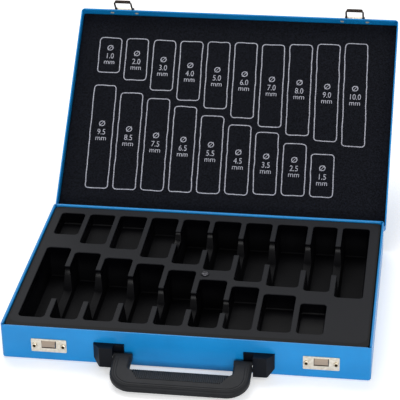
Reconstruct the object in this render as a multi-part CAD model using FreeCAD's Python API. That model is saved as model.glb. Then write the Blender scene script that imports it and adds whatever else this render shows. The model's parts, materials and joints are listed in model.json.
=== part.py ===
"""Drill bit case: a folded sheet-steel case with a hinged lid, a moulded tray of
nineteen pockets, two draw clasps and a folding carrying handle.

Millimetres.  X runs to the right along the front wall, Y to the back, Z up.  The
origin is the middle of the flat underside of the base.  Everything that the lid
carries is drawn on the closed lid, and hold_open() then swings it about the hinge
pins to the open rest position.
"""

import FreeCAD, Part
import math
import os

V = FreeCAD.Vector
X_AXIS = V(1, 0, 0)

# ---------------------------------------------------------------- driving sizes
sheet = 0.7                    # steel sheet of the base and the lid

# The pockets set the size of the tray, and the tray sets the size of the case.
column_widths = [26, 27.5, 29.5, 29, 28.5, 28.5, 28, 32.3, 26, 28.5]
back_lengths = [46.5, 63, 70, 84, 93, 102, 120, 126, 131, 140]
back_depths = [13.4, 13.5, 15, 21.5, 34, 34, 34, 34, 34, 34]
front_lengths = [135, 127.5, 120, 112.5, 103.5, 88.5, 79, 68, 54.5]
front_depths = [34, 34, 34, 34, 34, 34, 19, 17, 11.7]
pocket_web = 5.5               # land between two columns
row_land = 10                  # land between the rows where they come closest
left_margin = 12.6             # case side to the first column
right_margin = 14.1
front_margin = 20.5            # case front to the front row
back_margin = 15.5
pocket_corner = 4.5            # upright corners of a pocket, at the top
pocket_floor_corner = 2.5      # the same corners at the pocket's floor
pocket_draft = 4.0             # degrees that a pocket wall leans outwards
pocket_floor_fillet = 1.6
tray_wall = 1.2
tray_skirt = 8
tray_corner = 6
tray_to_hem = 0.8              # gap round the tray
tray_recess = 1.5              # tray surface below the top of the base
tray_to_floor = 0.1
row_split = 3.0                # beyond a front pocket, where its row's block ends

# Finger dips cut through the partitions.  (first column, start, end, depth), where
# start and end are the distances from the row's own margin.
front_dips = [(0, 35.5, 98.5, 27), (1, 33.5, 94.5, 24), (2, 34.5, 86.5, 25),
              (3, 32.5, 67.5, 18), (4, 30.5, 61.5, 17.5), (5, 27.5, 52.5, 13)]
back_dips = [(3, 27.5, 53.5, 10), (4, 25.5, 62.5, 18), (5, 34.5, 69.5, 19.5),
             (6, 36.5, 84.5, 26), (7, 38.5, 91.5, 22), (8, 39.5, 98, 21.5)]
dip_draft = 10.0

# Base
base_corner = 3.0
base_edge = 2.0                # bend between the floor and the walls
base_hem_height = 3.0
base_hem_thickness = 2.2
hem_corner_gap = 3.5           # the hem stops short of each corner

# Lid
lid_side_gap = 0.4             # closed lid to the base, at the sides and the back
lid_front_gap = 0.6
lid_hem_height = 4.0
lid_hem_thickness = 1.4
lid_depth = 16.0               # rim to the outside of the top
lid_overlap = 9.0              # how far the closed lid reaches down over the base
lid_corner = 4.0
lid_edge = 2.0
lid_open_angle = 139.6         # degrees from closed to the hinge's stop
foam_thickness = 4.7
foam_glue = 0.1
foam_side_gap = 0.8
foam_corner = 3.0
foam_edge = 0.8

# Hinges
hinge_centre_x = 110
hinge_width = 40
hinge_leaf = 1.0
hinge_leaf_height = 15         # knuckle axis to the leaf's far edge
hinge_knuckle_count = 5
hinge_knuckle_gap = 0.3
hinge_pin_radius = 1.4
hinge_pin_clearance = 0.08
hinge_pin_end = 0.6            # domed end that stands out of the knuckles
hinge_axis_below_rim = 2.5     # pin axis below the rim of the closed lid
hinge_rivet_spacing = 13

# Rivets
rivet_radius = 1.5
rivet_head_radius = 2.75
rivet_head_height = 1.3
rivet_tail_radius = 2.0
rivet_tail_height = 0.6
rivet_hole_clearance = 0.05
rivet_bore_radius = 1.15       # hollow in the middle of a rivet's head
rivet_bore_depth = 1.0

# Clasps: catch plates on the base, draw loops on the lid
clasp_centre_x = 132.5
clasp_rivet_spacing = 28.5
catch_width = 35
catch_height = 14.5
catch_bottom = 10.1
catch_thickness = 0.9
catch_corner = 1.0
catch_rivet_z = 17.0
tab_width = 13
tab_bottom = 17.1
tab_height = 6.4
tab_reach = 2.2
tab_skin = 0.7
tab_window_drop = 1.9          # the plate's window below the tab's edge
clasp_plate_height = 10.5
clasp_plate_thickness = 0.7
clasp_plate_above_rim = 1.0
clasp_rivet_above_rim = 6.0
clasp_axis_above_rim = 3.5
clasp_barrel_radius = 1.8
clasp_pin_radius = 0.9
clasp_pin_clearance = 0.06
clasp_pin_head_radius = 1.5
clasp_pin_head = 0.5
loop_width = 21
loop_window = 17
loop_thickness = 1.0
loop_side_gap = 0.3            # loop ear to the barrel
loop_bar_height = 2.9
loop_bar_below_tab = 0.4
loop_to_hem = 0.3
loop_to_catch = 0.4
loop_lip = 2.3                 # outward curl under the bar
loop_lip_height = 1.4
loop_rest_angle = 8.0          # how far the loop stands off its latched place

# Handle and its brackets
bracket_centre_x = 73
bracket_width = 30
bracket_bottom = 3.0
bracket_height = 21.5
bracket_plate = 2.0
bracket_reach = 10.0           # block's face from the case wall
bracket_chamfer = 5.5
bracket_side_bevel = 7.0
bracket_lip_height = 1.5
bracket_lip_reach = 3.0
handle_width = 135
handle_window = 99
handle_thickness = 8.5
handle_arm_to_block = 0.5
handle_axis_out = 6.7
handle_axis_z = 13.5
handle_droop = 11.4            # degrees below level at rest
handle_grip_start = 16.8       # pivot to the grip's inner edge
handle_grip_depth = 25.7
handle_outer_corner = 22
handle_inner_corner = 2.5
handle_heel = 3.7
handle_edge = 3.2
finger_bevel_width = 13.5      # ribbed bevel on the grip's finger side
finger_bevel_depth = 2.3
finger_bevel_run_out = 9.5     # how far the bevel narrows at each end
handle_pin_radius = 2.0
handle_pin_clearance = 0.08
handle_pin_in_arm = 11
handle_pin_in_block = 12
handle_pin_end_gap = 0.3
bracket_screw_length = 8.0
bracket_screw_spacing = 11

# Tray fastening
tray_screw_from_column = 3.9   # screw centre from the left side of the sixth column
tray_screw_column = 5
tray_screw_radius = 2.0
tray_screw_head_radius = 4.25
tray_screw_head_height = 2.2
tray_screw_length = 12
tray_screw_clearance = 0.1
tray_post_radius = 4.0

# ---------------------------------------------------------------- derived sizes
columns = len(column_widths)
case_width = left_margin + sum(column_widths) + (columns - 1) * pocket_web + right_margin
fullest_column = max(b + f for b, f in zip(back_lengths, front_lengths))
case_depth = front_margin + fullest_column + row_land + back_margin
deepest_pocket = max(back_depths + front_depths)
tray_top = sheet + tray_to_floor + tray_wall + deepest_pocket
case_height = tray_top + tray_recess
front_y = -case_depth / 2
back_y = case_depth / 2
wall_inner_y = front_y + sheet

lid_side_stand = lid_hem_thickness + lid_side_gap
lid_front_stand = lid_hem_thickness + lid_front_gap
lid_width = case_width + 2 * lid_side_stand
lid_length = case_depth + lid_side_stand + lid_front_stand
lid_centre_y = (lid_side_stand - lid_front_stand) / 2
lid_rim_z = case_height - lid_overlap
lid_top_z = lid_rim_z + lid_depth
lid_front_y = front_y - lid_front_stand
lid_back_y = back_y + lid_side_stand

hinge_bore_radius = hinge_pin_radius + hinge_pin_clearance
hinge_knuckle_radius = hinge_bore_radius + hinge_leaf
hinge_axis = V(0, lid_back_y + hinge_knuckle_radius, lid_rim_z - hinge_axis_below_rim)

clasp_axis_y = lid_front_y - clasp_plate_thickness - clasp_barrel_radius
clasp_axis_z = lid_rim_z + clasp_axis_above_rim
handle_axis_y = front_y - handle_axis_out


# ---------------------------------------------------------------- shape helpers
def block(x0, x1, y0, y1, z0, z1):
    """A box between two corners."""
    return Part.makeBox(x1 - x0, y1 - y0, z1 - z0, V(x0, y0, z0))


def rod(start, direction, length, radius):
    """A round bar from a start point."""
    return Part.makeCylinder(radius, length, start, direction)


def rounded_rectangle(x0, x1, y0, y1, radius, z):
    """A closed wire: a rectangle at height z with round corners."""
    diagonal = radius * math.sqrt(0.5)
    corners = [(x1 - radius, y0 + radius, 1, -1), (x1 - radius, y1 - radius, 1, 1),
               (x0 + radius, y1 - radius, -1, 1), (x0 + radius, y0 + radius, -1, -1)]
    arcs = []
    for cx, cy, sx, sy in corners:
        along_x = V(cx + sx * radius, cy, z)
        along_y = V(cx, cy + sy * radius, z)
        middle = V(cx + sx * diagonal, cy + sy * diagonal, z)
        ends = (along_x, along_y) if sx * sy > 0 else (along_y, along_x)
        arcs.append(Part.Arc(ends[0], middle, ends[1]))
    edges = []
    for arc, following in zip(arcs, arcs[1:] + arcs[:1]):
        edges.append(arc.toShape())
        edges.append(Part.LineSegment(arc.EndPoint, following.StartPoint).toShape())
    return Part.Wire(edges)


def slab(width, depth, radius, z0, z1, centre_y=0.0):
    """A plate with round upright corners, centred on X."""
    wire = rounded_rectangle(-width / 2, width / 2, centre_y - depth / 2,
                             centre_y + depth / 2, radius, z0)
    return Part.Face(wire).extrude(V(0, 0, z1 - z0))


def outline_yz(points, x0, x1):
    """A closed outline of (y, z) points, drawn out along X."""
    corners = [V(x0, y, z) for y, z in points]
    return Part.Face(Part.makePolygon(corners + corners[:1])).extrude(V(x1 - x0, 0, 0))


def edges_at_height(shape, z):
    """The edges that lie wholly at one height."""
    return [e for e in shape.Edges
            if abs(e.BoundBox.ZMin - z) < 1e-6 and abs(e.BoundBox.ZMax - z) < 1e-6]


def fuse(shapes):
    """One solid from overlapping shapes, with seams between flush faces removed."""
    first, rest = shapes[0], shapes[1:]
    return first.fuse(rest).removeSplitter() if rest else first


def hold_open(shape):
    """Swing a piece of the closed lid to the open rest position."""
    return shape.rotated(hinge_axis, X_AXIS, -lid_open_angle)


def mirrored(shape):
    """The same piece on the other side of the case."""
    return shape.mirror(V(0, 0, 0), X_AXIS)


def rivet(face, outward, grip):
    """A rivet: hollow domed head on a face, shank back through the grip, tail behind it."""
    inward = outward * -1
    head = rod(face, outward, rivet_head_height, rivet_head_radius)
    head = head.makeFillet(rivet_head_height * 0.75, [head.Edges[0]])
    shank = rod(face, inward, grip, rivet_radius)
    tail = rod(face + inward * grip, inward, rivet_tail_height, rivet_tail_radius)
    bore = rod(face + outward * rivet_head_height, inward, rivet_bore_depth,
               rivet_bore_radius)
    return fuse([head, shank, tail]).cut(bore)


def rivet_hole(face, outward, depth):
    """The hole that a rivet's shank passes through, from just outside the face."""
    start = face + outward
    return rod(start, outward * -1, depth + 2, rivet_radius + rivet_hole_clearance)


# ---------------------------------------------------------------- base and lid shells
def hem_bars(width, depth, thickness, height, top_z):
    """The folded hem inside a rim: four bars with round tops, short of the corners."""
    half_x = width / 2 - hem_corner_gap
    half_y = depth / 2 - hem_corner_gap
    bars = []
    for side in (-1, 1):
        outer = side * width / 2
        inner = outer - side * thickness
        bars.append(block(min(outer, inner), max(outer, inner), -half_y, half_y,
                          top_z - height, top_z))
        outer = side * depth / 2
        inner = outer - side * thickness
        bars.append(block(-half_x, half_x, min(outer, inner), max(outer, inner),
                          top_z - height, top_z))
    rounded = []
    for bar in bars:
        box = bar.BoundBox
        along_y = box.YLength > box.XLength
        top = [e for e in edges_at_height(bar, top_z)
               if (e.BoundBox.YLength if along_y else e.BoundBox.XLength) > thickness * 2]
        rounded.append(bar.makeFillet(thickness * 0.45, top))
    return rounded


def folded_box(width, depth, height, corner, edge):
    """An open sheet-metal box standing on z = 0, with a bend round its floor."""
    outer = slab(width, depth, corner, 0, height)
    outer = outer.makeFillet(edge, edges_at_height(outer, 0))
    inner = slab(width - 2 * sheet, depth - 2 * sheet, corner - sheet, sheet, height + 1)
    inner = inner.makeFillet(edge - sheet, edges_at_height(inner, sheet))
    return outer.cut(inner)


def catch_rivet_points(centre_x):
    """Where the two rivets of a catch plate meet its face."""
    y = front_y - catch_thickness
    return [V(centre_x + s * clasp_rivet_spacing / 2, y, catch_rivet_z) for s in (-1, 1)]


def clasp_rivet_points(centre_x):
    """Where the two rivets of a clasp plate meet its face."""
    y = lid_front_y - clasp_plate_thickness
    z = lid_rim_z + clasp_rivet_above_rim
    return [V(centre_x + s * clasp_rivet_spacing / 2, y, z) for s in (-1, 1)]


def hinge_rivet_points(centre_x, y, z):
    """Where the rivets of a hinge leaf meet its face."""
    return [V(centre_x + n * hinge_rivet_spacing, y, z) for n in (-1, 0, 1)]


def bracket_screw_points(centre_x):
    """Where the screws of a handle bracket meet the inside of the case wall."""
    side = 1 if centre_x > 0 else -1
    x = side * (bracket_centre_x + bracket_width / 4)
    middle = bracket_bottom + bracket_height / 2
    return [V(x, wall_inner_y, middle + s * bracket_screw_spacing / 2) for s in (-1, 1)]


OUT_FRONT = V(0, -1, 0)
OUT_BACK = V(0, 1, 0)
base_leaf_rivet_z = hinge_axis.z - hinge_leaf_height * 0.75
lid_leaf_rivet_z = hinge_axis.z + hinge_leaf_height * 0.7
wall_hole = 8 * sheet


def make_base_shell():
    shell = folded_box(case_width, case_depth, case_height, base_corner, base_edge)
    hem = hem_bars(case_width, case_depth, base_hem_thickness, base_hem_height,
                   case_height)
    shell = fuse([shell] + hem)
    holes = []
    for side in (-1, 1):
        for point in catch_rivet_points(side * clasp_centre_x):
            holes.append(rivet_hole(point, OUT_FRONT, wall_hole))
        for point in bracket_screw_points(side):
            holes.append(rivet_hole(point, OUT_BACK, wall_hole))
        for point in hinge_rivet_points(side * hinge_centre_x, back_y, base_leaf_rivet_z):
            holes.append(rivet_hole(point, OUT_BACK, wall_hole))
    return shell.cut(holes)


def make_lid_shell():
    """The lid, drawn closed: its top is above and its rim looks down."""
    tray = folded_box(lid_width, lid_length, lid_depth, lid_corner, lid_edge)
    hem = hem_bars(lid_width, lid_length, lid_hem_thickness, lid_hem_height, lid_depth)
    lid = fuse([tray] + hem).rotated(V(0, 0, 0), X_AXIS, 180)
    lid = lid.translated(V(0, lid_centre_y, lid_top_z))
    holes = []
    for side in (-1, 1):
        for point in clasp_rivet_points(side * clasp_centre_x):
            holes.append(rivet_hole(point, OUT_FRONT, wall_hole))
        for point in hinge_rivet_points(side * hinge_centre_x, lid_back_y, lid_leaf_rivet_z):
            holes.append(rivet_hole(point, OUT_BACK, wall_hole))
    return lid.cut(holes)


def make_lid_foam():
    """The foam sheet glued inside the lid's top."""
    margin = 2 * (sheet + foam_side_gap)
    top = lid_top_z - sheet - foam_glue
    foam = slab(lid_width - margin, lid_length - margin, foam_corner,
                top - foam_thickness, top, lid_centre_y)
    return foam.makeFillet(foam_edge, edges_at_height(foam, top - foam_thickness))


# ---------------------------------------------------------------- moulded tray
def pocket(x0, x1, y0, y1, depth, grow):
    """A drafted pocket, or with grow the outside of its cup, as one solid."""
    lean = math.tan(math.radians(pocket_draft))
    over = 1.0 if grow == 0 else 0.0
    bottom = depth + grow
    inset = bottom * lean
    top = rounded_rectangle(x0 - grow - over * lean, x1 + grow + over * lean,
                            y0 - grow - over * lean, y1 + grow + over * lean,
                            pocket_corner + grow, tray_top + over)
    foot = rounded_rectangle(x0 - grow + inset, x1 + grow - inset, y0 - grow + inset,
                             y1 + grow - inset, pocket_floor_corner + grow,
                             tray_top - bottom)
    solid = Part.makeLoft([foot, top], True, True)
    return solid.makeFillet(pocket_floor_fillet + grow,
                            edges_at_height(solid, tray_top - bottom))


def pocket_plan():
    """The plan of every pocket: (name, x0, x1, y0, y1, depth)."""
    plan = []
    x0 = -case_width / 2 + left_margin
    front = front_y + front_margin
    back = back_y - back_margin
    for n, width in enumerate(column_widths):
        plan.append(("back_%d" % (n + 1), x0, x0 + width, back - back_lengths[n], back,
                     back_depths[n]))
        if n < len(front_lengths):
            plan.append(("front_%d" % (n + 1), x0, x0 + width, front,
                         front + front_lengths[n], front_depths[n]))
        x0 += width + pocket_web
    return plan


def column_left(n):
    """The left side of a column of pockets."""
    return -case_width / 2 + left_margin + sum(column_widths[:n]) + n * pocket_web


def dip_plan():
    """The plan of every finger dip: (x0, x1, y0, y1, depth), middle to middle."""
    plan = []
    for dips, row in ((front_dips, "front"), (back_dips, "back")):
        for n, start, end, depth in dips:
            x0 = column_left(n) + column_widths[n] / 2
            x1 = column_left(n + 1) + column_widths[n + 1] / 2
            if row == "front":
                y0 = front_y + front_margin + start
                y1 = front_y + front_margin + end
            else:
                y0 = back_y - back_margin - end
                y1 = back_y - back_margin - start
            plan.append((x0, x1, y0, y1, depth))
    return plan


def dip_cutter(x0, x1, y0, y1, depth):
    """A finger dip: a trough across one partition with steep ends."""
    lean = math.tan(math.radians(dip_draft))
    floor_z = tray_top - depth
    return outline_yz([(y0 - lean, tray_top + 1), (y0 + depth * lean, floor_z),
                       (y1 - depth * lean, floor_z), (y1 + lean, tray_top + 1)], x0, x1)


def dip_lining(x0, x1, y0, y1, depth):
    """The material round a dip, which closes the partition under and beside it."""
    web_x0 = x0 + pocket_corner
    web_x1 = x1 - pocket_corner
    return block(web_x0, web_x1, y0 - tray_wall, y1 + tray_wall,
                 tray_top - depth - tray_wall, tray_top)


def tray_size():
    """Outer width, depth and corner radius of the tray."""
    gap = 2 * (base_hem_thickness + tray_to_hem)
    return case_width - gap, case_depth - gap, tray_corner


def screw_place():
    """Plan position of the screw that holds the tray down."""
    n = tray_screw_column
    x = column_left(n) + tray_screw_from_column
    front_end = front_y + front_margin + front_lengths[n]
    back_end = back_y - back_margin - back_lengths[n]
    return x, (front_end + back_end) / 2


def tray_cells():
    """The tray's ground plan: the cell round each pocket, as (x0, x1, y0, y1)."""
    width, depth, _ = tray_size()
    cells = []
    for n in range(columns):
        x0 = column_left(n) - pocket_web / 2 if n > 0 else -width / 2
        x1 = column_left(n + 1) - pocket_web / 2 if n < columns - 1 else width / 2
        if n < len(front_lengths):
            split = front_y + front_margin + front_lengths[n] + row_split
            cells.append((x0, x1, split, depth / 2))
            cells.append((x0, x1, -depth / 2, split))
        else:
            cells.append((x0, x1, -depth / 2, depth / 2))
    return cells


def floor_plate(x0, x1, y0, y1, depth):
    """The flat middle of a pocket's floor, inside the rounding along its edges."""
    edge = depth * math.tan(math.radians(pocket_draft)) + pocket_floor_corner
    floor_z = tray_top - depth
    return block(x0 + edge, x1 - edge, y0 + edge, y1 - edge, floor_z - tray_wall, floor_z)


def make_tray():
    """The moulded sheet.  It is one moulding, drawn as a block of walls and a floor plate
    for each pocket; they meet face to face, so that each pocket stays open in collision."""
    width, depth, corner = tray_size()
    land = slab(width, depth, corner, tray_top - tray_wall, tray_top)
    skirt = slab(width, depth, corner, tray_top - tray_skirt, tray_top)
    hollow = slab(width - 2 * tray_wall, depth - 2 * tray_wall, corner - tray_wall,
                  tray_top - tray_skirt - 1, tray_top)
    sheet_top = land.fuse(skirt.cut(hollow)).removeSplitter()
    linings = [dip_lining(*dip) for dip in dip_plan()]
    dips = [dip_cutter(*dip) for dip in dip_plan()]
    x, y = screw_place()
    screw_hole = rod(V(x, y, tray_top - tray_wall - 1), V(0, 0, 1), tray_wall + 2,
                     tray_screw_radius + tray_screw_clearance)
    blocks = []
    for place, (x0, x1, y0, y1) in zip(pocket_plan(), tray_cells()):
        cell = block(x0, x1, y0, y1, 0, tray_top)
        near = [s for s in linings if s.BoundBox.intersect(cell.BoundBox)]
        body = sheet_top.common(cell)
        body = body.fuse([pocket(*place[1:], tray_wall)] + [s.common(cell) for s in near])
        plate = floor_plate(*place[1:])
        cutters = [pocket(*place[1:], 0), screw_hole, plate]
        cutters += [s for s in dips if s.BoundBox.intersect(cell.BoundBox)]
        blocks += [body.cut(cutters).removeSplitter(), plate]
    return Part.makeCompound(blocks)


def make_tray_screw():
    """A short machine screw with a plain round head."""
    x, y = screw_place()
    head = rod(V(x, y, tray_top), V(0, 0, 1), tray_screw_head_height,
               tray_screw_head_radius)
    head = head.makeFillet(tray_screw_head_height * 0.8, [head.Edges[0]])
    shank = rod(V(x, y, tray_top), V(0, 0, -1), tray_screw_length, tray_screw_radius)
    return fuse([head, shank])


def make_tray_post():
    """The threaded pillar on the floor of the base that takes the tray screw."""
    x, y = screw_place()
    height = tray_top - tray_wall - sheet
    post = rod(V(x, y, sheet), V(0, 0, 1), height, tray_post_radius)
    bore = rod(V(x, y, tray_top), V(0, 0, -1), tray_screw_length + tray_screw_radius,
               tray_screw_radius + tray_screw_clearance)
    return post.cut(bore)


# ---------------------------------------------------------------- hinges
def knuckle_spans(centre_x, parity):
    """The x ranges of one leaf's knuckles; parity 0 has the outer ones."""
    pitch = hinge_width / hinge_knuckle_count
    left = centre_x - hinge_width / 2
    return [(left + n * pitch + hinge_knuckle_gap / 2,
             left + (n + 1) * pitch - hinge_knuckle_gap / 2)
            for n in range(parity, hinge_knuckle_count, 2)]


def finish_leaf(plate, centre_x, parity):
    """Add one leaf's knuckles to its plate and clear the other leaf's."""
    other = []
    for x0, x1 in knuckle_spans(centre_x, 1 - parity):
        start = V(x0 - hinge_knuckle_gap, hinge_axis.y, hinge_axis.z)
        other.append(rod(start, X_AXIS, x1 - x0 + 2 * hinge_knuckle_gap,
                         hinge_knuckle_radius + hinge_knuckle_gap))
    own = []
    for x0, x1 in knuckle_spans(centre_x, parity):
        own.append(rod(V(x0, hinge_axis.y, hinge_axis.z), X_AXIS, x1 - x0,
                       hinge_knuckle_radius))
    bore = rod(V(centre_x - hinge_width, hinge_axis.y, hinge_axis.z), X_AXIS,
               2 * hinge_width, hinge_bore_radius)
    trimmed = plate.cut(other)
    return fuse([trimmed] + own).cut(bore)


def make_hinge_base_leaf(centre_x):
    """The leaf on the back of the base, joggled out to the knuckles."""
    x0 = centre_x - hinge_width / 2
    foot = hinge_axis.z - hinge_leaf_height
    bend = hinge_axis.z - 2.2 * hinge_knuckle_radius
    straight = hinge_axis.z - 1.3 * hinge_knuckle_radius
    plate = outline_yz([(back_y, foot), (back_y, bend), (lid_back_y, straight),
                        (lid_back_y, hinge_axis.z), (lid_back_y + hinge_leaf, hinge_axis.z),
                        (lid_back_y + hinge_leaf, straight), (back_y + hinge_leaf, bend),
                        (back_y + hinge_leaf, foot)], x0, x0 + hinge_width)
    leaf = finish_leaf(plate, centre_x, 0)
    face_y = back_y + hinge_leaf
    return leaf.cut([rivet_hole(p, OUT_BACK, wall_hole)
                     for p in hinge_rivet_points(centre_x, face_y, base_leaf_rivet_z)])


def make_hinge_lid_leaf(centre_x):
    """The flat leaf on the back of the closed lid."""
    x0 = centre_x - hinge_width / 2
    plate = block(x0, x0 + hinge_width, lid_back_y, lid_back_y + hinge_leaf,
                  hinge_axis.z, hinge_axis.z + hinge_leaf_height)
    leaf = finish_leaf(plate, centre_x, 1)
    face_y = lid_back_y + hinge_leaf
    return leaf.cut([rivet_hole(p, OUT_BACK, wall_hole)
                     for p in hinge_rivet_points(centre_x, face_y, lid_leaf_rivet_z)])


def make_hinge_pin(centre_x):
    """The pin through the knuckles, with domed ends."""
    length = hinge_width + 2 * hinge_pin_end
    pin = rod(V(centre_x - length / 2, hinge_axis.y, hinge_axis.z), X_AXIS, length,
              hinge_pin_radius)
    ends = [e for e in pin.Edges if e.BoundBox.XLength < 1e-6]
    return pin.makeFillet(hinge_pin_end, ends)


def make_hinge_rivets(on_lid):
    """The six rivets of the base leaves, or of the lid leaves."""
    wall_y = lid_back_y if on_lid else back_y
    z = lid_leaf_rivet_z if on_lid else base_leaf_rivet_z
    rivets = []
    for side in (-1, 1):
        for point in hinge_rivet_points(side * hinge_centre_x, wall_y + hinge_leaf, z):
            rivets.append(rivet(point, OUT_BACK, hinge_leaf + sheet))
    return Part.makeCompound(rivets)


# ---------------------------------------------------------------- clasps
def make_catch_plate(centre_x):
    """The plate on the front of the base.  A tab is lanced out of it: it hangs from the
    top edge of its window and is open at its ends and its foot."""
    face_y = front_y - catch_thickness
    x0 = centre_x - catch_width / 2
    plate = block(x0, x0 + catch_width, face_y, front_y, catch_bottom,
                  catch_bottom + catch_height)
    corners = [e for e in plate.Edges if e.BoundBox.YLength > catch_thickness / 2
               and e.BoundBox.XLength < 1e-6 and e.BoundBox.ZLength < 1e-6]
    plate = plate.makeFillet(catch_corner, corners)
    tab_x0 = centre_x - tab_width / 2
    tab_top = tab_bottom + tab_height
    slope = tab_reach * 1.2
    outer = outline_yz([(face_y + catch_thickness / 2, tab_top), (face_y, tab_top),
                        (face_y - tab_reach, tab_top - slope),
                        (face_y - tab_reach, tab_bottom),
                        (face_y + catch_thickness / 2, tab_bottom)],
                       tab_x0, tab_x0 + tab_width)
    window_foot = tab_bottom - tab_window_drop
    window = outline_yz([(front_y + sheet, tab_top - 1.3 * tab_skin),
                         (face_y, tab_top - 1.3 * tab_skin),
                         (face_y - tab_reach + tab_skin, tab_top - slope - tab_skin / 3),
                         (face_y - tab_reach + tab_skin, window_foot),
                         (front_y + sheet, window_foot)], tab_x0, tab_x0 + tab_width)
    catch = fuse([plate, outer]).cut(window)
    return catch.cut([rivet_hole(p, OUT_FRONT, wall_hole)
                      for p in catch_rivet_points(centre_x)])


def make_clasp_plate(centre_x):
    """The plate on the front of the closed lid, with the barrel for the loop's pin."""
    x0 = centre_x - catch_width / 2
    z0 = lid_rim_z + clasp_plate_above_rim
    face_y = lid_front_y - clasp_plate_thickness
    plate = block(x0, x0 + catch_width, face_y, lid_front_y, z0, z0 + clasp_plate_height)
    corners = [e for e in plate.Edges if e.BoundBox.YLength > clasp_plate_thickness / 2
               and e.BoundBox.XLength < 1e-6 and e.BoundBox.ZLength < 1e-6]
    plate = plate.makeFillet(catch_corner, corners)
    half = loop_window / 2 - loop_side_gap
    barrel = rod(V(centre_x - half, clasp_axis_y, clasp_axis_z), X_AXIS, 2 * half,
                 clasp_barrel_radius)
    roll = block(centre_x - half, centre_x + half, clasp_axis_y, lid_front_y,
                 clasp_axis_z, clasp_axis_z + clasp_barrel_radius)
    bore = rod(V(centre_x - loop_width, clasp_axis_y, clasp_axis_z), X_AXIS,
               2 * loop_width, clasp_pin_radius + clasp_pin_clearance)
    holes = [rivet_hole(p, OUT_FRONT, wall_hole) for p in clasp_rivet_points(centre_x)]
    return fuse([plate, barrel, roll]).cut([bore] + holes)


def bent_strip(points, thickness, x0, x1):
    """A strip of sheet bent along a line of (y, z) points."""
    sides = ([], [])
    for n, (y, z) in enumerate(points):
        before = points[max(n - 1, 0)]
        after = points[min(n + 1, len(points) - 1)]
        directions = []
        for a, b in ((before, (y, z)), ((y, z), after)):
            length = math.hypot(b[0] - a[0], b[1] - a[1])
            if length > 0:
                directions.append(((b[0] - a[0]) / length, (b[1] - a[1]) / length))
        dy = sum(d[0] for d in directions)
        dz = sum(d[1] for d in directions)
        size = math.hypot(dy, dz)
        normal = (-dz / size, dy / size)
        half_turn = normal[0] * -directions[0][1] + normal[1] * directions[0][0]
        reach = thickness / 2 / half_turn
        sides[0].append((y + normal[0] * reach, z + normal[1] * reach))
        sides[1].append((y - normal[0] * reach, z - normal[1] * reach))
    return outline_yz(sides[0] + sides[1][::-1], x0, x1)


def make_clasp_loop(centre_x):
    """The draw loop in its latched place, swung out by its rest angle."""
    to_lid = lid_front_y - clasp_axis_y
    to_catch = front_y - catch_thickness - clasp_axis_y
    bar_y = clasp_axis_y + to_catch - loop_to_catch - loop_thickness / 2
    hem_y = clasp_axis_y + to_lid - loop_to_hem - loop_thickness / 2
    bar_top = tab_bottom - loop_bar_below_tab
    foot = bar_top - loop_bar_height
    hem_z = lid_rim_z - loop_thickness / 2
    path = [(clasp_axis_y, clasp_axis_z), (hem_y, hem_z),
            (bar_y, (hem_z + bar_top) / 2), (bar_y, foot + loop_lip_height),
            (bar_y - loop_lip / 3, foot + loop_thickness),
            (bar_y - loop_lip, foot + loop_thickness / 2)]
    half = loop_width / 2
    strip = bent_strip(path, loop_thickness, centre_x - half, centre_x + half)
    ears = rod(V(centre_x - half, clasp_axis_y, clasp_axis_z), X_AXIS, loop_width,
               clasp_barrel_radius)
    window = block(centre_x - loop_window / 2, centre_x + loop_window / 2,
                   clasp_axis_y - loop_width, front_y, bar_top,
                   clasp_axis_z + loop_width)
    bore = rod(V(centre_x - loop_width, clasp_axis_y, clasp_axis_z), X_AXIS,
               2 * loop_width, clasp_pin_radius + clasp_pin_clearance)
    loop = fuse([strip, ears]).cut([window, bore])
    return loop.rotated(V(0, clasp_axis_y, clasp_axis_z), X_AXIS, -loop_rest_angle)


def make_clasp_pin(centre_x):
    """The pin through the barrel and the loop's ears, headed at both ends."""
    reach = loop_width / 2 + loop_side_gap
    start = V(centre_x - reach, clasp_axis_y, clasp_axis_z)
    shank = rod(start, X_AXIS, 2 * reach, clasp_pin_radius)
    heads = [rod(start, X_AXIS * -1, clasp_pin_head, clasp_pin_head_radius),
             rod(start + X_AXIS * (2 * reach), X_AXIS, clasp_pin_head,
                 clasp_pin_head_radius)]
    return fuse([shank] + heads)


def make_catch_rivets():
    """The four rivets of the catch plates."""
    points = catch_rivet_points(-clasp_centre_x) + catch_rivet_points(clasp_centre_x)
    return Part.makeCompound([rivet(p, OUT_FRONT, catch_thickness + sheet) for p in points])


def make_clasp_rivets():
    """The four rivets of the clasp plates."""
    points = clasp_rivet_points(-clasp_centre_x) + clasp_rivet_points(clasp_centre_x)
    return Part.makeCompound([rivet(p, OUT_FRONT, clasp_plate_thickness + sheet)
                              for p in points])


# ---------------------------------------------------------------- handle
def handle_pin_hole(side, reach):
    """The bore for a handle pin on one side, longer than the pin by reach at both ends."""
    x0 = handle_width / 2 - handle_pin_in_arm - reach
    length = handle_pin_in_arm + handle_arm_to_block + handle_pin_in_block + 2 * reach
    start = V(side * x0, handle_axis_y, handle_axis_z)
    return rod(start, X_AXIS * side, length, handle_pin_radius + handle_pin_clearance)


def finger_bevel():
    """The wedge that is cut from the grip's upper inner edge for the fingers."""
    half = handle_window / 2
    start = -handle_grip_start
    end = start - finger_bevel_width
    top = handle_thickness / 2
    wedge = outline_yz([(start + 1, top + 1), (end, top + 1), (end, top),
                        (start, top - finger_bevel_depth),
                        (start + 1, top - finger_bevel_depth)], -half, half)
    plan = [V(-half, start + 1, -top), V(-half, start, -top),
            V(finger_bevel_run_out - half, end, -top),
            V(half - finger_bevel_run_out, end, -top), V(half, start, -top),
            V(half, start + 1, -top)]
    prism = Part.Face(Part.makePolygon(plan + plan[:1]))
    return wedge.common(prism.extrude(V(0, 0, 2 * top + 1)))


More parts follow.
